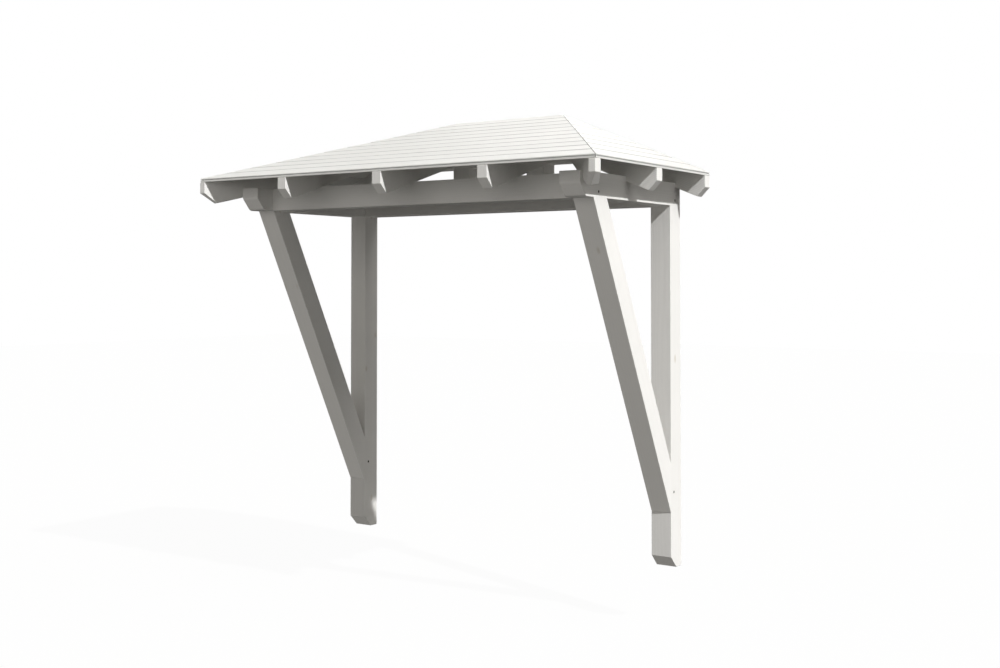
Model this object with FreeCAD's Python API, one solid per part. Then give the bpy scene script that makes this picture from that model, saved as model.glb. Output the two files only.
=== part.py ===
import FreeCAD, Part
import os
from math import atan, cos, degrees, hypot, radians, tan

# Door canopy of painted softwood, hung on a wall, with a hipped roof of three slopes.
# Frame: x to the right, -y out from the wall, z up. The wall plane is y = 0.
# The origin is the centre of the wall beam's back face. Everything is symmetric about x = 0.

# Overall sizes
eave_width = 2640.0
eave_depth = 1250.0
ridge_length = 768.0
front_pitch = 17.0
frame_width = 2280.0
post_length = 1972.0

# Sections of the timbers
post_width = 120.0
post_depth = 120.0
beam_height = 126.0
wall_beam_depth = 120.0
purlin_depth = 120.0
brace_depth = 120.0
rafter_width = 60.0
rafter_height = 122.0
hip_height = 128.0
board_thickness = 22.0

# Places of the timbers
brace_angle = 26.5
brace_foot = 300.0
beam_reach = 1085.0
purlin_seat = 5.5
jack_place = 675.0
side_jack_place = 596.0
ridge_post_place = 265.0
ridge_purlin_half = 515.0
ridge_seat = 20.0

# Shaped ends and the joints between the boards
toe_height = 61.0
toe_depth = 60.0
head_plumb = 59.0
head_slant = 57.0
head_radius = 30.0
tail_plumb = 63.0
tail_angle = 45.0
board_cover = 120.0
joint_width = 5.0
joint_depth = 3.0

# Mortise and tenon joints, held by steel dowel pins
tenon_thickness = 40.0
tenon_length = 60.0
tenon_shoulder = 15.0
stub_length = 30.0
stub_height = 60.0
stub_cover = 15.0
fit_clearance = 0.5
pin_diameter = 16.0
pin_recess = 5.0
pin_rise = 30.0
pin_edge = 36.0
pin_foot_rise = 110.0

# Worked out from the sizes above: the frame. The front purlin lies over the braces' heads.
eave_half = eave_width / 2
frame_half = frame_width / 2
frame_inner = frame_half - post_width
frame_mid = frame_half - post_width / 2
tenon_x0 = frame_mid - tenon_thickness / 2
tenon_x1 = frame_mid + tenon_thickness / 2
beam_top = beam_height / 2
beam_under = -beam_height / 2
post_foot = beam_under - post_length
brace_slope = tan(radians(brace_angle))
brace_across = brace_depth / cos(radians(brace_angle))
purlin_middle = -post_depth - (post_length + pin_rise - brace_foot) * brace_slope + brace_across / 2
purlin_reach = purlin_depth / 2 - purlin_middle

# Worked out from the sizes above: the roof, whose side slopes are steeper than its front
front_slope = tan(radians(front_pitch))
side_run = eave_half - ridge_length / 2
side_slope = eave_depth * front_slope / side_run
front_rafter_plumb = rafter_height / cos(radians(front_pitch))
board_plumb = board_thickness / cos(radians(front_pitch))
board_under = beam_top - purlin_seat - (eave_depth - purlin_reach) * front_slope + front_rafter_plumb
hip_run = hypot(side_run, eave_depth)
hip_slope = eave_depth * front_slope / hip_run
hip_side_drop = side_slope * rafter_width / 2 * eave_depth / hip_run
hip_plumb = hip_height / cos(atan(hip_slope)) + hip_side_drop
hip_face = rafter_width / 2 * hip_run / eave_depth
ridge_front = board_under + (eave_depth - wall_beam_depth) * front_slope - front_rafter_plumb
ridge_purlin_top = ridge_front + ridge_seat
ridge_purlin_under = ridge_purlin_top - beam_height
far = eave_width + eave_depth


def vec(x, y, z):
    return FreeCAD.Vector(x, y, z)


def block(x0, x1, y0, y1, z0, z1):
    return Part.makeBox(x1 - x0, y1 - y0, z1 - z0, vec(x0, y0, z0))


def side_profile(points, x0, x1, gap=0.0):
    """Prism along x over a closed outline of (y, z) points, grown by a gap on every side."""
    face = Part.Face(Part.makePolygon([vec(x0 - gap, y, z) for y, z in points + points[:1]]))
    if gap:
        face = face.makeOffset2D(gap, join=2)
    return face.extrude(vec(x1 - x0 + 2 * gap, 0, 0))


def plan_prism(points):
    """Tall prism over a closed plan outline of (x, y) points."""
    face = Part.Face(Part.makePolygon([vec(x, y, -far) for x, y in points + points[:1]]))
    return face.extrude(vec(0, 0, 2 * far))


def rectangle(y0, y1, z0, z1):
    return [(y0, z0), (y1, z0), (y1, z1), (y0, z1)]


def mirrored(shape):
    return shape.mirror(vec(0, 0, 0), vec(1, 0, 0))


def rounded(shape, radius, corners):
    """Round the edges along x that stand at the given (y, z) corners."""
    chosen = []
    for edge in shape.Edges:
        start, end = edge.Vertexes[0].Point, edge.Vertexes[-1].Point
        for y, z in corners:
            lies = abs(start.y - y) + abs(end.y - y) + abs(start.z - z) + abs(end.z - z)
            if lies < radius / 1000:
                chosen.append(edge)
    return shape.makeFillet(radius, chosen)


# Brace: its lower and upper face in the y-z plane, and where they meet the post and the side beam
def brace_y(height, upper=0.0):
    """The y of the brace's lower face at a height, or of the upper one, or of a line between them."""
    return -post_depth - (height - post_foot - brace_foot) * brace_slope + upper * brace_across


def brace_z(y, upper=0.0):
    return post_foot + brace_foot + (-post_depth - y + upper * brace_across) / brace_slope


def brace_foot_tenon(gap=0.0):
    """Square to the post below and in line with the brace's upper face above."""
    low = brace_z(-post_depth) + tenon_shoulder
    high = brace_z(-post_depth, 1) - tenon_shoulder
    inner = -post_depth + tenon_length
    outline = [(-post_depth, low), (inner, low), (inner, high - tenon_length / brace_slope), (-post_depth, high)]
    return side_profile(outline, tenon_x0, tenon_x1, gap)


def brace_head_tenon(gap=0.0):
    """Plumb in front and in line with the brace's upper face behind."""
    front = brace_y(beam_under) + tenon_shoulder
    back = brace_y(beam_under, 1) - tenon_shoulder
    top = beam_under + tenon_length
    outline = [(front, beam_under), (front, top), (back - tenon_length * brace_slope, top), (back, beam_under)]
    return side_profile(outline, tenon_x0, tenon_x1, gap)


def post_head_tenon(gap=0.0):
    outline = rectangle(-post_depth + tenon_shoulder, -tenon_shoulder, beam_under, beam_under + tenon_length)
    return side_profile(outline, tenon_x0, tenon_x1, gap)


# The pins' places, as (y, z)
post_head_pin = (-post_depth / 2, beam_under + pin_rise)
brace_head_pin = (purlin_middle, beam_under + pin_rise)
brace_foot_pin = (-post_depth + pin_edge, post_foot + brace_foot + pin_foot_rise)


def pin(place, recess=0.0):
    start = vec(frame_inner + recess, *place)
    return Part.makeCylinder(pin_diameter / 2, post_width - 2 * recess, start, vec(1, 0, 0))


def beam_stub(middle, gap=0.0):
    """Stub tenon of a cross beam, let into the right side beam's inner face."""
    half = tenon_thickness / 2
    top = beam_top - stub_cover
    outline = rectangle(middle - half, middle + half, top - stub_height, top)
    return side_profile(outline, frame_inner, frame_inner + stub_length, gap)


def ridge_stub(z, gap=0.0):
    """Stub tenon across a ridge post's end, centred on its shoulder at height z."""
    middle = -wall_beam_depth / 2
    outline = rectangle(middle - tenon_thickness / 2, middle + tenon_thickness / 2, z - stub_length, z + stub_length)
    half = stub_height / 2
    return side_profile(outline, ridge_post_place - half, ridge_post_place + half, gap)


def make_post():
    outline = [(0, post_foot), (toe_depth - post_depth, post_foot), (-post_depth, post_foot + toe_height),
               (-post_depth, beam_under), (0, beam_under)]
    post = side_profile(outline, frame_inner, frame_half).fuse(post_head_tenon())
    return post.cut([pin(post_head_pin), pin(brace_foot_pin), brace_foot_tenon(fit_clearance)])


def make_brace():
    outline = [(-post_depth, brace_z(-post_depth)), (-post_depth, brace_z(-post_depth, 1)),
               (brace_y(beam_under, 1), beam_under), (brace_y(beam_under), beam_under)]
    brace = side_profile(outline, frame_inner, frame_half)
    brace = brace.fuse([brace_foot_tenon(), brace_head_tenon()])
    return brace.cut([pin(brace_foot_pin), pin(brace_head_pin)])


def make_side_beam():
    """Lies on the post and the brace. Its head is plumb above, then slants back with rounded corners."""
    plumb_end = (-beam_reach, beam_top - head_plumb)
    slant_end = (head_slant - beam_reach, beam_under)
    outline = [(0, beam_top), (-beam_reach, beam_top), plumb_end, slant_end, (0, beam_under)]
    beam = side_profile(outline, frame_inner, frame_half)
    beam = rounded(beam, head_radius, [plumb_end, slant_end])
    gap = fit_clearance
    return beam.cut([post_head_tenon(gap), brace_head_tenon(gap), beam_stub(-wall_beam_depth / 2, gap),
                     beam_stub(purlin_middle, gap), pin(post_head_pin), pin(brace_head_pin)])


def make_front_purlin():
    beam = block(-frame_inner, frame_inner, -purlin_reach, purlin_depth - purlin_reach, beam_under, beam_top)
    stub = beam_stub(purlin_middle)
    return beam.fuse([stub, mirrored(stub)])


def make_wall_beam():
    beam = block(-frame_inner, frame_inner, -wall_beam_depth, 0, beam_under, beam_top)
    stub = beam_stub(-wall_beam_depth / 2)
    mortise = ridge_stub(beam_top, fit_clearance)
    return beam.fuse([stub, mirrored(stub)]).cut([mortise, mirrored(mortise)])


def make_ridge_post():
    half = post_width / 2
    post = block(ridge_post_place - half, ridge_post_place + half, -wall_beam_depth, 0, beam_top, ridge_purlin_under)
    return post.fuse([ridge_stub(beam_top), ridge_stub(ridge_purlin_under)])


def make_ridge_purlin():
    half = ridge_purlin_half
    beam = block(-half, half, -wall_beam_depth, 0, ridge_purlin_under, ridge_purlin_top)
    mortise = ridge_stub(ridge_purlin_under, fit_clearance)
    return beam.cut([mortise, mirrored(mortise)])


class Slope:
    """A roof slope drawn with its eave along x at y = 0 and rising towards +y, to be put in place."""

    def __init__(self, run, rise):
        self.run = run
        self.rise = rise
        self.pitch = atan(rise)
        self.rafter_plumb = rafter_height / cos(self.pitch)

    def under_boards(self, run):
        """Height of the boards' underside at a horizontal distance in from the eave."""
        return board_under + run * self.rise

    def tails(self):
        """All that lies under the boards and behind the plumb and slanted cuts of the rafters' tails."""
        top, reach = board_under, hip_height
        low = top - tail_plumb - reach * tan(radians(tail_angle))
        outline = [(0, top), (0, top - tail_plumb), (reach, low), (far, low), (far, self.under_boards(far))]
        return side_profile(outline, -far, far)

    def rafter(self):
        top, end = board_under, self.under_boards(self.run)
        plumb = self.rafter_plumb
        outline = [(0, top), (0, top - plumb), (self.run, end - plumb), (self.run, end)]
        half = rafter_width / 2
        return side_profile(outline, -half, half).common(self.tails())

    def board_joint(self, run, lift, depth):
        """Three-sided groove along x: its point lies at the depth and its sides meet the face at its width."""
        outline = []
        for side, rise in ((0, depth), (-joint_width, -depth), (joint_width, -depth)):
            outline.append((run + side, self.under_boards(run + side) + lift + rise))
        return side_profile(outline, -far, far)

    def board_joints(self):
        """V joints between the boards, counted from the eave, on both faces."""
        joints = []
        step = board_cover * cos(self.pitch)
        for number in range(1, 1 + int(self.run / step)):
            joints.append(self.board_joint(number * step, board_plumb, -joint_depth))
            joints.append(self.board_joint(number * step, 0, joint_depth))
        return joints


front = Slope(eave_depth, front_slope)
side = Slope(side_run, side_slope)


def at_front(shape, place=0.0):
    moved = shape.copy()
    moved.translate(vec(place, -eave_depth, 0))
    return moved


def at_side(shape, place=0.0):
    """Turn a piece of the side slope to the right, its middle at y = place."""
    turned = shape.copy()
    turned.rotate(vec(0, 0, 0), vec(0, 0, 1), 90)
    turned.translate(vec(eave_half, place, 0))
    return turned


def seated(shape):
    """Cut a rafter's birdsmouths from the beams that carry it."""
    beam = block(frame_inner, frame_half, -beam_reach, 0, beam_under, beam_top)
    purlin = block(-frame_inner, frame_inner, -purlin_reach, purlin_depth - purlin_reach, beam_under, beam_top)
    wall = block(-frame_inner, frame_inner, -wall_beam_depth, 0, beam_under, beam_top)
    ridge = block(-ridge_purlin_half, ridge_purlin_half, -wall_beam_depth, 0, ridge_purlin_under, ridge_purlin_top)
    return shape.cut([beam, mirrored(beam), purlin, wall, ridge])


def front_field():
    """Plan of the front slope between the faces of the two hip rafters."""
    near = ridge_length / 2 - hip_face
    wide = near + 2 * side_run
    return plan_prism([(-near, 0), (near, 0), (wide, -2 * eave_depth), (-wide, -2 * eave_depth)])


def side_field():
    """Plan of the right slope outside its hip rafter's face."""
    near = ridge_length / 2 + hip_face
    wide = near + 2 * side_run
    return plan_prism([(near, 0), (wide, 0), (wide, -2 * eave_depth)])


def make_front_rafter(place):
    return seated(at_front(front.rafter(), place).common(front_field()))


def make_side_rafter(place):
    return seated(at_side(side.rafter(), place).common(side_field()))


def make_hip_rafter():
    """Runs from the roof's corner to the end of the ridge. Both roof planes back its top and cut its tail."""
    start, end = -rafter_width, hip_run + rafter_width
    low, high = board_under - hip_plumb, board_under + hip_plumb
    outline = [(start, low + start * hip_slope), (end, low + end * hip_slope), (end, high + end * hip_slope),
               (start, high + start * hip_slope)]
    hip = side_profile(outline, -rafter_width / 2, rafter_width / 2)
    hip.rotate(vec(0, 0, 0), vec(0, 0, 1), degrees(atan(side_run / eave_depth)))
    hip.translate(vec(eave_half, -eave_depth, 0))
    hip = hip.common(at_front(front.tails())).common(at_side(side.tails()))
    return seated(hip.cut(block(-far, far, 0, far, -far, far)))


# Roof boards, parallel to each eave and mitred over the hips
def slope_boards(slope, corners):
    """Boards over a closed plan outline of (x, y, run in from the eave) corners."""
    points = [vec(x, y, slope.under_boards(run)) for x, y, run in corners + corners[:1]]
    return Part.Face(Part.makePolygon(points)).extrude(vec(0, 0, board_plumb))


def make_roof_front():
    ridge_half = ridge_length / 2
    corners = [(-eave_half, -eave_depth, 0), (eave_half, -eave_depth, 0), (ridge_half, 0, eave_depth),
               (-ridge_half, 0, eave_depth)]
    return slope_boards(front, corners).cut([at_front(joint) for joint in front.board_joints()])


def make_roof_side():
    corners = [(eave_half, -eave_depth, 0), (eave_half, 0, 0), (eave_half - side_run, 0, side_run)]
    return slope_boards(side, corners).cut([at_side(joint) for joint in side.board_joints()])


def export(name, shape):
    shape.removeSplitter().exportStep(os.path.join("parts", name + ".step"))


def export_pair(name, shape):
    """A piece of the right side, and the same piece mirrored to the left."""
    export(name + "_right", shape)
    export(name + "_left", mirrored(shape))


os.makedirs("parts", exist_ok=True)
export_pair("wall_post", make_post())
export_pair("brace", make_brace())
export_pair("side_beam", make_side_beam())
export_pair("ridge_post", make_ridge_post())
export_pair("hip_rafter", make_hip_rafter())
export_pair("front_jack_rafter", make_front_rafter(jack_place))
export_pair("side_jack_rafter", make_side_rafter(-side_jack_place))
export_pair("wall_rafter", make_side_rafter(-rafter_width / 2))
export_pair("roof_side", make_roof_side())
export_pair("post_head_pin", pin(post_head_pin, pin_recess))
export_pair("brace_head_pin", pin(brace_head_pin, pin_recess))
export_pair("brace_foot_pin", pin(brace_foot_pin, pin_recess))
export("front_purlin", make_front_purlin())
export("wall_beam", make_wall_beam())
export("ridge_purlin", make_ridge_purlin())
export("front_middle_rafter", make_front_rafter(0))
export("roof_front", make_roof_front())
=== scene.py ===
from math import atan, cos, hypot, radians, sin, tan

import bmesh
import bpy
import numpy as np
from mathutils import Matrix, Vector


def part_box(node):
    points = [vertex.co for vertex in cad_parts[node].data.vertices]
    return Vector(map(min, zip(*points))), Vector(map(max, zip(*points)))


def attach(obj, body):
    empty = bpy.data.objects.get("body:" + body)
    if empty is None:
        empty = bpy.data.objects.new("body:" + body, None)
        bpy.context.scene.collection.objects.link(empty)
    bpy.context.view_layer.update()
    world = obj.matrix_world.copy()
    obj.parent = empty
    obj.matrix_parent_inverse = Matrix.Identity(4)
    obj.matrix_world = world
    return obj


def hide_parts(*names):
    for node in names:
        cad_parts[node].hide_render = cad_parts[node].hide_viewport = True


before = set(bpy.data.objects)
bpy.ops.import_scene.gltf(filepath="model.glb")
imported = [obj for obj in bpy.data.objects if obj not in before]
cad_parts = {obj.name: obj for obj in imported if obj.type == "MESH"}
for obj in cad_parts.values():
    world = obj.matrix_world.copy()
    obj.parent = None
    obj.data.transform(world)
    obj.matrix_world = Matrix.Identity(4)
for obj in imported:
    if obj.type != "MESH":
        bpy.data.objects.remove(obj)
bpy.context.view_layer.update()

# Door canopy of painted softwood. Sizes are in millimetres, with x to the right, -y out to the front and z up,
# and angles in degrees.
MM = 0.001


def corners(node):
    """Lowest and highest corner of a solid, in millimetres."""
    low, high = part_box(node)
    return np.array(low) / MM, np.array(high) / MM


# The roof, as its solids give it. A run is level and counts in from an eave, a slope is the rise over its run.
front_pitch = 17.0
roof_low, roof_high = corners("roof_front")
eave_half = roof_high[0]
eave_depth = -roof_low[1]
board_under = roof_low[2]
ridge_half = corners("roof_side_right")[0][0]
side_run = eave_half - ridge_half
hip_run = hypot(side_run, eave_depth)
plan_slope = side_run / eave_depth
front_slope = tan(radians(front_pitch))
side_slope = eave_depth * front_slope / side_run
board_plumb = roof_high[2] - board_under - eave_depth * front_slope

# The roof boards. An arris is given by its width along the board's face and its depth.
board_cover = 120.0
board_gap = 0.6
top_arris = (7.0, 4.2)
under_arris = (4.5, 2.8)
eave_arris = (2.5, 1.8)
groove_top, groove_height, groove_depth = 6.4, 5.0, 6.0
tongue_short = 1.5
tongue_play = 0.4
mitre_gap = 2.6
board_rows = 25

# A board isn't laid where less of its cover is left than this share, and none is cut shorter than this length
least_cover = 0.02
least_length = 1.0

# Each board's upper face waves by this much to either side of its middle, and only dips below the plane. A
# radian of its wave is at least and at most this long.
board_wave = 0.25
wave_radian = (160, 320)

# Shades, as shares of the paint's own. A V joint is the darkest, as painted shade in the joint, and its painted
# shade fades out over a short width.
joint_painted_shade = 0.62
joint_shade_fade = 1.0
# Painted shade: the side slopes' boards are drawn darker than the front's, so that they don't go as white under
# the lamps
side_painted_shade = 0.86
board_tones = (0.975, 1.0)
timber_tones = (0.985, 1.0)

# Where in its log each piece was sawn: the least and the most of x, y and z, with the pith as the x axis
timber_cuts = ((0, 20, 60), (4000, 70, 110))
board_cuts = ((0, -60, 20), (5000, 60, 90))

# The timbers
rafter_width = 60.0
rafter_height = 122.0
hip_face = rafter_width / 2 * hip_run / eave_depth
jack_place = 675.0
side_jack_place = 596.0
tail_plumb = 63.0
cheek_reach = 20.0
brace_angle = 26.5
brace_depth = 120.0
brace_foot = 300.0
toe_height = 61.0
toe_depth = 60.0
head_plumb = 59.0
head_slant = 57.0
head_radius = 30.0
arris_radius = 2.5
corner_radius = 3.0
arris_steps = 4

# A timber reaches this far into the one that it meets, so that no gap shows along their rounded arrises
overlap = arris_radius

# The pins. Each rod is driven in until its ends lie just under the timber's faces, nearer than its solid's.
pin_chamfer = 1.0
pin_dome = 0.8
pin_sides = 24
# The dome's inner rings as shares of the radius, and the second one's depth as a share of the dome's
dome_rings = (0.15, 0.6)
dome_share = 0.3

# How far a rod's ends lie past its solid's, the play round a pin in its hole, and how far a bore runs past it
rod_end = 4.0
bore_play = 0.3
bore_reach = 20.0

rng = np.random.default_rng(7)


# Meshes

def linear(hex_colour):
    """sRGB hex to linear: c / 12.92 up to 0.04045, above that ((c + 0.055) / 1.055) ** 2.4."""
    c = np.array([int(hex_colour[i:i + 2], 16) for i in (1, 3, 5)]) / 255
    return (*np.where(c <= 0.04045, c / 12.92, ((c + 0.055) / 1.055) ** 2.4), 1.0)


def ring_faces(rows, columns):
    """Quads between the rings of a closed grid, and one face over each end ring."""
    i, j = np.meshgrid(np.arange(rows - 1), np.arange(columns), indexing="ij")
    k = (j + 1) % columns
    quads = np.stack([i * columns + j, i * columns + k, (i + 1) * columns + k, (i + 1) * columns + j], -1)
    first = np.arange(columns)[::-1]
    last = (rows - 1) * columns + np.arange(columns)
    return [*quads.reshape(-1, 4), first, last]


def volume(points, faces):
    """Six times the enclosed volume: the sum over a fan of triangles of a . (b x c)."""
    total = 0.0
    for face in faces:
        p = points[face]
        total += np.einsum("ij,ij->", np.broadcast_to(p[0], p[1:-1].shape), np.cross(p[1:-1], p[2:]))
    return total


def closed_mesh(name, shells):
    """A mesh of closed shells. A shell is an array of rings (rows, columns, 3), joined row to row and closed by
    a face over its first and its last ring, with all its faces outward."""
    points, faces, start = [], [], 0
    for shell in shells:
        flat = shell.reshape(-1, 3)
        own = ring_faces(shell.shape[0], shell.shape[1])
        if volume(flat, own) < 0:
            own = [face[::-1] for face in own]
        faces += [(face + start).tolist() for face in own]
        points.append(flat)
        start += len(flat)
    mesh = bpy.data.meshes.new(name)
    mesh.from_pydata((np.concatenate(points) * MM).tolist(), [], faces)
    return mesh


def linked(name, data):
    made = bpy.data.objects.new(name, data)
    bpy.context.scene.collection.objects.link(made)
    return made


def set_attributes(mesh, grains, tones):
    """grain: each point's place in its own timber, in metres, with x along the fibres. tone: its shade, a random
    one, and on the boards also painted shade in the V joints and on the side slopes.
    """
    attribute = mesh.attributes.new("grain", "FLOAT_VECTOR", "POINT")
    attribute.data.foreach_set("vector", np.ascontiguousarray(grains * MM, np.float32).ravel())
    attribute = mesh.attributes.new("tone", "FLOAT", "POINT")
    attribute.data.foreach_set("value", np.ascontiguousarray(tones, np.float32))


def piece(mesh, material, replaced):
    """Put a mesh into the scene, by its own name, as the piece that stands for a solid."""
    made = linked(mesh.name, mesh)
    mesh.materials.append(material)
    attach(made, "root")
    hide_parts(replaced)
    return made


# Materials

def node(tree, kind, links=None, settings=None, values=None):
    """Add a node: links are {input: socket}, settings are the node's own, values are {input: number}."""
    made = tree.nodes.new("ShaderNode" + kind)
    for key, value in (settings or {}).items():
        setattr(made, key, value)
    for key, value in (values or {}).items():
        made.inputs[key].default_value = value
    for key, socket in (links or {}).items():
        tree.links.new(socket, made.inputs[key])
    return made


def cells(*sizes):
    """How many cells of each size in millimetres a metre holds, as a pattern's scale along x, y and z."""
    return tuple(1 / (size * MM) for size in sizes)


def empty_material(name):
    material = bpy.data.materials.new(name)
    material.use_nodes = True
    material.node_tree.nodes.clear()
    return material


def painted_wood(name, colour, knot_colour, roughness, ring_width, knot_spacing, knot_radius, knot_share):
    """Opaque paint, brushed on planed softwood: nearly white, with a soft sheen that breaks up along the fibres.
    It hides the colour of the wood, but the summer rings stand up a little under it, and resin stains it
    faintly over the knots."""
    bend_cell, bend_reach = (666.7, 111.1, 111.1), 30.0
    brush_cell = (166.7, 3.846, 3.846)
    cloud_cell = 400.0
    knot_core = 0.35
    ring_stain, knot_stain, brush_height, gloss_spread, relief = 0.008, 0.6, 0.8, 0.06, 0.3
    material = empty_material(name)
    tree = material.node_tree
    place = node(tree, "Attribute", settings={"attribute_name": "grain"}).outputs["Vector"]
    tone = node(tree, "Attribute", settings={"attribute_name": "tone"}).outputs["Fac"]

    # Rings: the distance from the pith, bent by slow noise along the fibres, as a wave of the rings' width
    slow = node(tree, "VectorMath", {0: place}, {"operation": "MULTIPLY"}, {1: cells(*bend_cell)}).outputs[0]
    bend = node(tree, "TexNoise", {"Vector": slow}, None, {"Scale": 1.0, "Detail": 3.0}).outputs["Fac"]
    parts = node(tree, "SeparateXYZ", {0: place})
    across = node(tree, "Math", {0: parts.outputs[1], 1: parts.outputs[1]},
                  {"operation": "MULTIPLY"}).outputs[0]
    radius = node(tree, "Math", {0: parts.outputs[2], 1: parts.outputs[2], 2: across},
                  {"operation": "MULTIPLY_ADD"}).outputs[0]
    radius = node(tree, "Math", {0: radius}, {"operation": "SQRT"}).outputs[0]
    radius = node(tree, "Math", {0: bend, 2: radius}, {"operation": "MULTIPLY_ADD"},
                  {1: bend_reach * MM}).outputs[0]
    wave = node(tree, "Math", {0: radius}, {"operation": "MULTIPLY"},
                {1: 2 * np.pi / (ring_width * MM)}).outputs[0]
    wave = node(tree, "Math", {0: wave}, {"operation": "SINE"}).outputs[0]

    # Brush marks: noise stretched along the fibres, and about four times as wide as bristles leave them, because
    # real ones are too fine to show even from near
    brushed = node(tree, "VectorMath", {0: place}, {"operation": "MULTIPLY"}, {1: cells(*brush_cell)}).outputs[0]
    marks = node(tree, "TexNoise", {"Vector": brushed}, None, {"Scale": 1.0, "Detail": 2.0}).outputs["Fac"]

    # Knots: one in some cells of a lattice as long as the branches stand apart, and half as wide
    lattice_cell = (knot_spacing, knot_spacing / 2, knot_spacing / 2)
    knot_reach = knot_radius / knot_spacing * 2
    spread = node(tree, "VectorMath", {0: place}, {"operation": "MULTIPLY"},
                  {1: cells(*lattice_cell)}).outputs[0]
    lattice = node(tree, "TexVoronoi", {"Vector": spread}, None, {"Scale": 1.0, "Randomness": 0.9})
    chance = node(tree, "SeparateColor", {0: lattice.outputs["Color"]}).outputs[0]
    chosen = node(tree, "Math", {0: chance}, {"operation": "LESS_THAN"}, {1: knot_share}).outputs[0]
    knot = node(tree, "MapRange", {"Value": lattice.outputs["Distance"]}, {"interpolation_type": "SMOOTHSTEP"},
                {"From Min": knot_reach * knot_core, "From Max": knot_reach,
                 "To Min": 1.0, "To Max": 0.0}).outputs[0]
    knot = node(tree, "Math", {0: knot, 1: chosen}, {"operation": "MULTIPLY"}).outputs[0]

    # Colour: the paint, a little uneven, with the rings and the knots in it. The tone multiplies it, and carries
    # the painted shade of the boards' V joints and side slopes.
    cloud = node(tree, "TexNoise", {"Vector": place}, None,
                 {"Scale": cells(cloud_cell)[0], "Detail": 4.0}).outputs["Fac"]
    shade = node(tree, "MapRange", {"Value": cloud}, None,
                 {"From Min": 0.3, "From Max": 0.7, "To Min": 0.965, "To Max": 1.0}).outputs[0]
    shade = node(tree, "Math", {0: shade, 1: tone}, {"operation": "MULTIPLY"}).outputs[0]
    shade = node(tree, "Math", {0: wave, 2: shade}, {"operation": "MULTIPLY_ADD"}, {1: ring_stain}).outputs[0]
    plain = node(tree, "MixRGB", {"Color2": shade}, {"blend_type": "MULTIPLY"},
                 {"Fac": 1.0, "Color1": linear(colour)}).outputs[0]
    stain = node(tree, "Math", {0: knot}, {"operation": "MULTIPLY"}, {1: knot_stain}).outputs[0]
    stained = node(tree, "MixRGB", {"Fac": stain, "Color1": plain}, None,
                   {"Color2": linear(knot_colour)}).outputs[0]

    # Relief and gloss: the brush marks, on the rings and the knots
    height = node(tree, "Math", {0: marks, 2: wave}, {"operation": "MULTIPLY_ADD"}, {1: brush_height}).outputs[0]
    height = node(tree, "Math", {0: knot, 1: height}, {"operation": "ADD"}).outputs[0]
    bump = node(tree, "Bump", {"Height": height}, None, {"Strength": 0.35, "Distance": relief * MM}).outputs[0]
    gloss = node(tree, "MapRange", {"Value": marks}, None,
                 {"To Min": roughness - gloss_spread, "To Max": roughness + gloss_spread}).outputs[0]
    shader = node(tree, "BsdfPrincipled", {"Base Color": stained, "Roughness": gloss, "Normal": bump}, None,
                  {"IOR": 1.5})
    node(tree, "OutputMaterial", {"Surface": shader.outputs[0]})
    return material


def dowel_steel(name, colour, rust_colour, pit_width, relief):
    """Steel rod, sawn off and weathered: dark and dull, with a little rust in the pits of its ends."""
    material = empty_material(name)
    tree = material.node_tree
    place = node(tree, "TexCoord").outputs["Object"]
    pits = node(tree, "TexNoise", {"Vector": place}, None,
                {"Scale": cells(pit_width)[0], "Detail": 3.0}).outputs["Fac"]
    rust = node(tree, "MapRange", {"Value": pits}, None, {"From Min": 0.55, "From Max": 0.75}).outputs[0]
    tint = node(tree, "MixRGB", {"Fac": rust}, None,
                {"Color1": linear(colour), "Color2": linear(rust_colour)}).outputs[0]
    rough = node(tree, "MapRange", {"Value": pits}, None, {"To Min": 0.4, "To Max": 0.7}).outputs[0]
    bump = node(tree, "Bump", {"Height": pits}, None, {"Strength": 0.4, "Distance": relief * MM}).outputs[0]
    shader = node(tree, "BsdfPrincipled", {"Base Color": tint, "Roughness": rough, "Normal": bump}, None,
                  {"Metallic": 1.0})
    node(tree, "OutputMaterial", {"Surface": shader.outputs[0]})
    return material


# The boards take the most weather, so that their paint is a little duller
timber_paint = painted_wood("brushed_white_paint_on_planed_softwood", "#f3f2ef", "#cfc8ba", 0.5,
                            ring_width=9.0, knot_spacing=260.0, knot_radius=16.0, knot_share=0.3)
board_paint = painted_wood("brushed_white_paint_on_softwood_boards", "#f4f4f1", "#cdc8bc", 0.55,
                           ring_width=10.0, knot_spacing=300.0, knot_radius=12.0, knot_share=0.35)
pin_steel = dowel_steel("sawn_weathered_steel_rod", "#302e2c", "#4a3428", pit_width=1.1111, relief=0.2)


# Timbers

def pin_shell(low, high):
    """A rod about the x axis: rings of one radius, drawn in over a chamfer and a shallow dome at each end."""
    middle, radius = (low + high) / 2, (high[2] - low[2]) / 2
    end_radii = np.array([*dome_rings, 1 - pin_chamfer / radius, 1.0]) * radius
    end_depths = np.array([0, pin_dome * dome_share, pin_dome, pin_dome + pin_chamfer])
    radii = np.concatenate([end_radii, end_radii[::-1]])
    place = np.concatenate([low[0] + end_depths, high[0] - end_depths[::-1]])
    angle = np.linspace(0, 2 * np.pi, pin_sides, endpoint=False)
    ring = np.stack([np.zeros(pin_sides), np.cos(angle), np.sin(angle)], -1)
    centres = np.stack([place, np.full(len(place), middle[1]), np.full(len(place), middle[2])], -1)
    return ring * radii[:, None, None] + centres[:, None]


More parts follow.
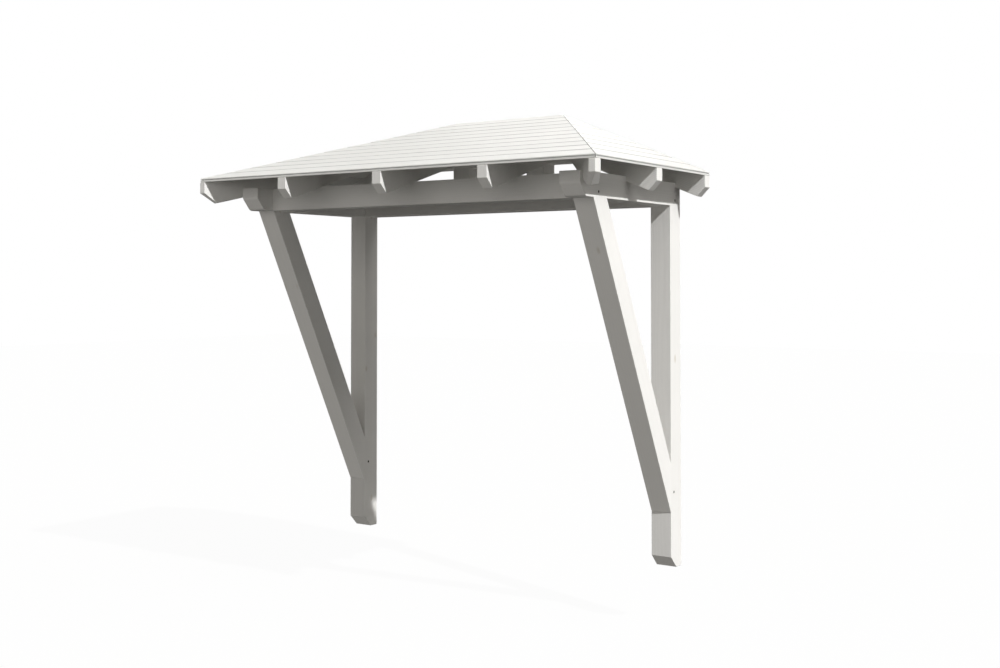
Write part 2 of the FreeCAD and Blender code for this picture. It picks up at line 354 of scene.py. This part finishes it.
def rounded_ring(outline, radii, inset):
    """A closed outline, anticlockwise, drawn in by an inset. At a corner p between edges of inward normals a
    and b, the ring follows the arc p + r (a + b) / (1 + a . b) - (r - inset) n, where n turns from a to b. A
    hollow corner stays sharp and only moves to p + inset (a + b) / (1 + a . b)."""
    after = np.roll(outline, -1, 0) - outline
    after /= np.linalg.norm(after, axis=1)[:, None]
    before = np.roll(after, 1, 0)
    a, b = (np.stack([-edge[:, 1], edge[:, 0]], -1) for edge in (before, after))
    dot = (a * b).sum(1)
    turn = np.arccos(np.clip(dot, -1, 1))[:, None, None]
    share = np.linspace(0, 1, arris_steps + 1)[None, :, None]
    normal = (np.sin((1 - share) * turn) * a[:, None] + np.sin(share * turn) * b[:, None]) / np.sin(turn)
    inner = ((a + b) / (1 + dot)[:, None])[:, None]
    radii = radii[:, None, None]
    hollow = before[:, 0] * after[:, 1] < before[:, 1] * after[:, 0]
    arc = outline[:, None] + np.where(hollow[:, None, None], inset * inner,
                                      radii * inner - (radii - inset) * normal)
    shown = np.ones(arc.shape[:2], bool)
    shown[hollow, 1:] = False
    return arc[shown]


def timber_shell(outline, start, end, corner_radii=None, cheek=None):
    """A sawn and planed timber: its side outline (run, z), carried across its width from start to end. The
    first and the last rings follow a quarter circle, so that all its arrises are rounded. A cheek of (skew,
    slope, level) turns the cut at the far end to the face that it meets: within cheek_reach of that end the run
    grows by skew times the place across, and above the level z grows by slope times that."""
    outline = np.array(outline, float)
    radii = np.full(len(outline), corner_radius)
    for corner, value in (corner_radii or {}).items():
        radii[corner] = value
    turn = np.linspace(0, np.pi / 2, arris_steps + 1)
    rise = arris_radius * (1 - np.cos(turn))
    across = np.concatenate([start + rise, end - rise[::-1]])
    inset = arris_radius * (1 - np.sin(np.concatenate([turn, turn[::-1]])))
    rings = np.stack([rounded_ring(outline, radii, value) for value in inset])
    across = np.broadcast_to(across[:, None, None], (*rings.shape[:2], 1))
    shell = np.concatenate([rings, across], -1)
    if cheek:
        skew, slope, level = cheek
        far = shell[..., 0] > outline[:, 0].max() - cheek_reach
        shift = np.where(far, skew * (shell[..., 2] - (start + end) / 2), 0.0)
        shell[..., 1] += np.where(shell[..., 1] > level, slope * shift, 0.0)
        shell[..., 0] += shift
    return shell


def bored(made, pins):
    """Take the pins' holes out of a timber, a little wider than the pins."""
    cutters = []
    for pin in pins:
        low, high = corners(pin)
        reach = np.array([bore_reach, bore_play, bore_play])
        cutter = linked("bore", closed_mesh("bore", [pin_shell(low - reach, high + reach)]))
        modifier = made.modifiers.new("bore", "BOOLEAN")
        modifier.operation, modifier.solver, modifier.object = "DIFFERENCE", "EXACT", cutter
        cutters.append(cutter)
    mesh = bpy.data.meshes.new_from_object(made.evaluated_get(bpy.context.evaluated_depsgraph_get()))
    made.modifiers.clear()
    made.data = mesh
    for cutter in cutters:
        bpy.data.objects.remove(cutter)


def timber_from(mesh, solid, fibres, pins=()):
    """Let a mesh stand for a solid as its timber: bored, with its normals softened over the arrises, and with
    its grain along the fibres, as it was sawn somewhere from its log."""
    steep = 0.9
    made = piece(mesh, timber_paint, solid)
    if pins:
        bored(made, pins)
    mesh = made.data
    mesh.shade_smooth()
    made.modifiers.new("face_weights", "WEIGHTED_NORMAL").keep_sharp = True
    place = np.empty(len(mesh.vertices) * 3, np.float32)
    mesh.vertices.foreach_get("co", place)
    place = place.reshape(-1, 3) / MM
    fibres = np.array(fibres, float) / np.linalg.norm(fibres)
    side = np.cross(fibres, (0, 0, 1) if abs(fibres[2]) < steep else (0, 1, 0))
    side /= np.linalg.norm(side)
    turn = np.stack([fibres, side, np.cross(fibres, side)])
    own = (place - (place.min(0) + place.max(0)) / 2) @ turn.T + rng.uniform(*timber_cuts)
    set_attributes(mesh, own, np.full(len(own), rng.uniform(*timber_tones)))


def timber(solid, shell, placed, fibres, pins=()):
    """Make a timber of a shell, where placed turns (run, z, across) to (x, y, z)."""
    shell = np.stack(placed(shell[..., 0], shell[..., 1], shell[..., 2]), -1)
    timber_from(closed_mesh(solid + "_dressed", [shell]), solid, fibres, pins)


def merged_timber(solid, fibres):
    """Make a timber whose joinery is cut in several planes: a copy of its own solid, merged into flat faces,
    with the arris radius rounded along every outward edge."""
    merge_distance, flat_angle, arris_angle = 0.01, 1, 5
    mesh = bpy.data.meshes.new(solid + "_dressed")
    shape = bmesh.new()
    shape.from_mesh(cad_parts[solid].data)
    bmesh.ops.remove_doubles(shape, verts=shape.verts, dist=merge_distance * MM)
    bmesh.ops.dissolve_limit(shape, angle_limit=radians(flat_angle), verts=shape.verts, edges=shape.edges)
    arrises = [edge for edge in shape.edges
               if edge.is_convex and edge.calc_face_angle(0) > radians(arris_angle)]
    bmesh.ops.bevel(shape, geom=arrises, offset=arris_radius * MM, segments=arris_steps, profile=0.5,
                    affect="EDGES", clamp_overlap=True)
    shape.to_mesh(mesh)
    shape.free()
    timber_from(mesh, solid, fibres)


def beside(mirror):
    """Seen from the side, with the run along y."""
    return lambda run, z, across: (across * mirror, run, z)


def along_front(run, z, across):
    """Seen from the front, with the run along x."""
    return run, across, z


def at_front(place):
    """Seen from the side, with the run counted in from the front eave."""
    return lambda run, z, across: (across + place, run - eave_depth, z)


def at_side(place, mirror):
    """Seen from the front, with the run counted in from the side eave."""
    return lambda run, z, across: ((eave_half - run) * mirror, across + place, z)


def rafter_outline(slope, end, seats):
    """A rafter's side: plumb and slanted cuts at its tail, a birdsmouth over each seat (run, height), and a
    plumb cut at its upper end."""
    plumb = rafter_height / cos(atan(slope))
    low = board_under - plumb
    cut = (plumb - tail_plumb) / (1 + slope)
    outline = [(end, board_under + end * slope), (0, board_under), (0, board_under - tail_plumb),
               (cut, board_under - tail_plumb - cut)]
    heel = 0.0
    for run, height in seats:
        heel = (height - low) / slope
        outline += [(run, low + run * slope), (run, height), (min(heel, end), height)]
    return outline if heel > end else outline + [(end, low + end * slope)]


post_low, post_high = corners("wall_post_right")
post_foot, post_depth = post_low[2], post_high[1] - post_low[1]
beam_low, beam_high = corners("side_beam_right")
head, beam_under, beam_top = beam_low[1], beam_low[2], beam_high[2]
frame_inner, frame_half = corners("brace_right")[0][0], beam_high[0]
ridge_low, ridge_high = corners("ridge_purlin")
ridge_under, ridge_top = ridge_low[2], ridge_high[2]
brace_slope = tan(radians(brace_angle))
brace_rise = brace_depth / sin(radians(brace_angle))
brace_z = post_foot + brace_foot
post_top = beam_under + overlap


def brace_end(z, upper):
    """The y at a height of the brace's lower face, or of its upper one."""
    return -post_depth - (z - brace_z - upper * brace_rise) * brace_slope


post_outline = [(0, post_foot), (0, post_top), (-post_depth, post_top), (-post_depth, post_foot + toe_height),
                (toe_depth - post_depth, post_foot)]
brace_outline = [(-post_depth + overlap, brace_z - overlap / brace_slope),
                 (-post_depth + overlap, brace_z + brace_rise - overlap / brace_slope),
                 (brace_end(post_top, 1), post_top), (brace_end(post_top, 0), post_top)]
beam_outline = [(0, beam_under), (0, beam_top), (head, beam_top), (head, beam_top - head_plumb),
                (head + head_slant, beam_under)]
beam_radii = {3: head_radius, 4: head_radius}
ridge_post_outline = [(-post_depth, beam_top - overlap), (0, beam_top - overlap), (0, ridge_under + overlap),
                      (-post_depth, ridge_under + overlap)]

# Where the rafters sit, as (run, height)
side_seat = (eave_half - frame_half, beam_top)
purlin_seat = (eave_depth + corners("front_purlin")[0][1], beam_top)
ridge_side_seat = (eave_half - ridge_high[0], ridge_top)
ridge_front_seat = (eave_depth - post_depth, ridge_top)

# The jacks end at the hip's face, whose plan is x = ridge_half -+ hip_face - y * plan_slope
half = rafter_width / 2
front_jack_end = eave_depth - (jack_place - ridge_half + hip_face) / plan_slope + overlap
side_jack_end = side_run - hip_face - side_jack_place * plan_slope + overlap
wall_rafter_end = side_run - hip_face - half * plan_slope + overlap
front_jack_outline = rafter_outline(front_slope, front_jack_end, [purlin_seat])
side_jack_outline = rafter_outline(side_slope, side_jack_end, [side_seat])
wall_rafter_outline = rafter_outline(side_slope, wall_rafter_end, [side_seat, ridge_side_seat])
side_cheek = (plan_slope, side_slope, -np.inf)
# The rafters at the back also sit on the ridge purlin, and below that seat their far ends keep their height
wall_cheek = (plan_slope, side_slope, ridge_top + 2 * arris_radius)

for hand, mirror in (("right", 1), ("left", -1)):
    timber("wall_post_" + hand, timber_shell(post_outline, frame_inner, frame_half), beside(mirror), (0, 0, 1),
           ["brace_foot_pin_" + hand])
    timber("brace_" + hand, timber_shell(brace_outline, frame_inner, frame_half), beside(mirror),
           (0, brace_slope, -1))
    timber("side_beam_" + hand, timber_shell(beam_outline, frame_inner, frame_half, beam_radii), beside(mirror),
           (0, 1, 0), ["post_head_pin_" + hand, "brace_head_pin_" + hand])
    low, high = corners("ridge_post_" + hand)
    timber("ridge_post_" + hand, timber_shell(ridge_post_outline, low[0], high[0]), beside(1), (0, 0, 1))

    front_cheek = (-mirror / plan_slope, front_slope, -np.inf)
    timber("front_jack_rafter_" + hand, timber_shell(front_jack_outline, -half, half, cheek=front_cheek),
           at_front(jack_place * mirror), (0, 1, front_slope))
    timber("side_jack_rafter_" + hand, timber_shell(side_jack_outline, -half, half, cheek=side_cheek),
           at_side(-side_jack_place, mirror), (-mirror, 0, side_slope))
    timber("wall_rafter_" + hand, timber_shell(wall_rafter_outline, -half, half, cheek=wall_cheek),
           at_side(-half, mirror), (-mirror, 0, side_slope))
    merged_timber("hip_rafter_" + hand, (-side_run * mirror, eave_depth, eave_depth * front_slope))

middle_outline = rafter_outline(front_slope, eave_depth, [purlin_seat, ridge_front_seat])
timber("front_middle_rafter", timber_shell(middle_outline, -half, half), at_front(0), (0, 1, front_slope))
for solid, reach in (("front_purlin", frame_inner + overlap), ("wall_beam", frame_inner + overlap),
                     ("ridge_purlin", ridge_high[0])):
    low, high = corners(solid)
    outline = [(-reach, low[2]), (reach, low[2]), (reach, high[2]), (-reach, high[2])]
    timber(solid, timber_shell(outline, low[1], high[1]), along_front, (1, 0, 0))


# Roof boards

def board_section(first, last, slope):
    """A board's section as (run, lift, tone), from its lower edge and the face beneath it, both along the
    plumb: tongue above, groove below, and an arris along each long edge that makes a V with its neighbour. The
    V is drawn darker than the faces, as painted shade in the joint."""
    flat = cos(atan(slope))
    thick = board_plumb
    low, high = (0.0 if first else board_gap / 2), board_cover * flat - board_gap / 2
    low_arris = eave_arris if first else top_arris
    wide, deep = top_arris[0] * flat, top_arris[1]
    low_wide, low_deep = low_arris[0] * flat, low_arris[1]
    under_wide, under_deep = under_arris[0] * flat, under_arris[1]
    groove = thick - groove_top
    under = groove - groove_height
    tongue = 0.0 if last else groove_depth - tongue_short
    tongue_over, tongue_under = groove - tongue_play, under + tongue_play
    # Painted shade: the V's faces are drawn darker where shade falls in the joint, except at the eave's edge of
    # the first board
    edge_painted_shade = 1.0 if first else joint_painted_shade
    return np.array([
        (low + under_wide, 0, 1), (low, under_deep, edge_painted_shade), (low, under, edge_painted_shade),
        (low + groove_depth, under, joint_painted_shade), (low + groove_depth, groove, joint_painted_shade),
        (low, groove, edge_painted_shade), (low, thick - low_deep, edge_painted_shade), (low + low_wide, thick, edge_painted_shade),
        (low + low_wide + joint_shade_fade, thick, 1), (high - wide - joint_shade_fade, thick, 1),
        (high - wide, thick, joint_painted_shade), (high, thick - deep, joint_painted_shade), (high, tongue_over, joint_painted_shade),
        (high + tongue, tongue_over, joint_painted_shade), (high + tongue, tongue_under, joint_painted_shade),
        (high, tongue_under, joint_painted_shade), (high, under_deep, joint_painted_shade), (high - under_wide, 0, 1)])


def lay_boards(name, solid, slope, run_length, ends, tone, placed):
    """Lay the boards of one slope. Each is its section carried from one end line to the other, with a slow
    wave of its own in its upper face. ends(run) gives both ends for each run, tone is the slope's shade, a
    painted shade on the side slopes, and placed turns (along, run, z) to (x, y, z)."""
    step = board_cover * cos(atan(slope))
    count = int(np.ceil(run_length / step - least_cover))
    shells, grains, tones = [], [], []
    for number in range(count):
        section = board_section(number == 0, number == count - 1, slope)
        run = np.minimum(section[:, 0] + number * step, run_length)
        start, end = ends(run)
        along = start + (end - start) * np.linspace(0, 1, board_rows)[:, None]
        wave = board_wave * np.sin(along / rng.uniform(*wave_radian) + rng.uniform(0, 2 * np.pi)) - board_wave
        z = board_under + run * slope + section[:, 1] + wave * (section[:, 1] > board_plumb / 2)
        shells.append(np.stack(placed(along, np.broadcast_to(run, along.shape), z), -1))
        grain = np.stack([along, np.broadcast_to(section[:, 0], along.shape),
                          np.broadcast_to(section[:, 1], along.shape)], -1)
        grains.append(grain.reshape(-1, 3) + rng.uniform(*board_cuts))
        tones.append(np.broadcast_to(section[:, 2], along.shape).ravel() * tone * rng.uniform(*board_tones))
    made = piece(closed_mesh(name, shells), board_paint, solid)
    set_attributes(made.data, np.concatenate(grains), np.concatenate(tones))


def front_ends(run):
    """The front slope's boards run from hip to hip, and stop short of the mitre line by the mitre's gap."""
    reach = eave_half - run * side_run / eave_depth - mitre_gap * hip_run / eave_depth
    return -reach, reach


def side_ends(run):
    """The side slope's boards stop as far short of the mitre line, and run from there to the back."""
    start = -eave_depth + run * eave_depth / side_run + mitre_gap * hip_run / side_run
    return np.minimum(start, -least_length), np.zeros_like(run)


lay_boards("front_roof_boards", "roof_front", front_slope, eave_depth, front_ends, 1.0,
           lambda along, run, z: (along, run - eave_depth, z))
for hand, mirror in (("right", 1), ("left", -1)):
    lay_boards(hand + "_roof_boards", "roof_side_" + hand, side_slope, side_run, side_ends, side_painted_shade,
               lambda along, run, z: ((eave_half - run) * mirror, along, z))


# Pins

for pin in sorted(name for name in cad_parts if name.split("_")[-2] == "pin"):
    low, high = corners(pin)
    rod = closed_mesh(pin + "_rod", [pin_shell(low - (rod_end, 0, 0), high + (rod_end, 0, 0))])
    piece(rod, pin_steel, pin)


# Stage, light and camera

# How far the floor lies below the feet and half its width, both in metres
floor_drop = 0.35
floor_half = 30.0

# The share of pure white in the floor as the camera sees it, and what the floor and the world give as lights
floor_white = 0.96
floor_glow = 0.04
world_glow = 0.0


def white_backed(tree, kind, glow, matt=None):
    """White as the camera sees it, and dim as a light: the studio is lit apart from the part. A matt shader
    takes what is left of the floor's white."""
    seen = node(tree, "LightPath").outputs["Is Camera Ray"]
    white = node(tree, kind, values={"Color": (1, 1, 1, 1), "Strength": 1.0}).outputs[0]
    light = node(tree, kind, values={"Color": linear("#fffdf8"), "Strength": glow}).outputs[0]
    if matt:
        white = node(tree, "MixShader", {1: matt, 2: white}, None, {0: floor_white}).outputs[0]
    return node(tree, "MixShader", {0: seen, 1: light, 2: white}).outputs[0]


floor_z = post_foot * MM - floor_drop
mesh = bpy.data.meshes.new("floor")
mesh.from_pydata([(x * floor_half, y * floor_half, floor_z) for x, y in ((-1, -1), (1, -1), (1, 1), (-1, 1))],
                 [], [(0, 1, 2, 3)])
# The floor casts no shadow, because two of the lights come from below it
floor = linked("floor", mesh)
floor.visible_shadow = False

pale_floor = empty_material("pale_studio_floor")
tree = pale_floor.node_tree
matt = node(tree, "BsdfDiffuse", values={"Color": linear("#e8e8e6")}).outputs[0]
node(tree, "OutputMaterial", {"Surface": white_backed(tree, "Emission", floor_glow, matt)})
mesh.materials.append(pale_floor)

world = bpy.data.worlds.new("white_studio")
bpy.context.scene.world = world
world.use_nodes = True
tree = world.node_tree
tree.nodes.clear()
node(tree, "OutputWorld", {"Surface": white_backed(tree, "Background", world_glow)})


def sun(name, travel, strength, width, colour="#fffcf7"):
    """A distant light that travels along the given direction, as wide as its angle."""
    data = bpy.data.lights.new(name, "SUN")
    data.energy = strength
    data.angle = radians(width)
    data.color = linear(colour)[:3]
    x, y, z = travel
    linked(name, data).rotation_euler = (np.arctan2(hypot(x, y), -z), 0, np.arctan2(-x, y))


sun("key", (-1, 0.35, -0.84), 3.3, 1, "#ffffff")
sun("front", (0, 1, 0.15), 1.1, 80)
sun("front_above", (0, 1, -1), 0.33, 80)
sun("right_above", (-1, 0, -1), 0.86, 40)
sun("right", (-1, 0, 0.05), 0.64, 40)
# This one lights the back and the left, and hardly reaches a face that shows from the camera's side
sun("behind", (0.6, -1, -0.25), 1.3, 15)

# The camera: the picture's size, its lens and the place of its axis in pixels, its turn in degrees, and its
# place in metres, with z from the feet up
picture_width, picture_height = 1000, 668
lens_pixels = 1296.88
centre_pixels = (498.1, 249.85)
yaw, pitch = 34.18, 1.479
camera_place = (4.335, -6.497, 1.547)
sensor_width = 36
data = bpy.data.cameras.new("camera")
data.sensor_width = sensor_width
data.lens = lens_pixels * sensor_width / picture_width
data.shift_x = (picture_width / 2 - centre_pixels[0]) / picture_width
data.shift_y = (centre_pixels[1] - picture_height / 2) / picture_width
camera = linked("camera", data)
camera.location = (camera_place[0], camera_place[1], camera_place[2] + post_foot * MM)
camera.rotation_euler = (np.pi / 2 + radians(pitch), 0, radians(yaw))
bpy.context.scene.camera = camera
bpy.context.scene.view_settings.view_transform = "Standard"
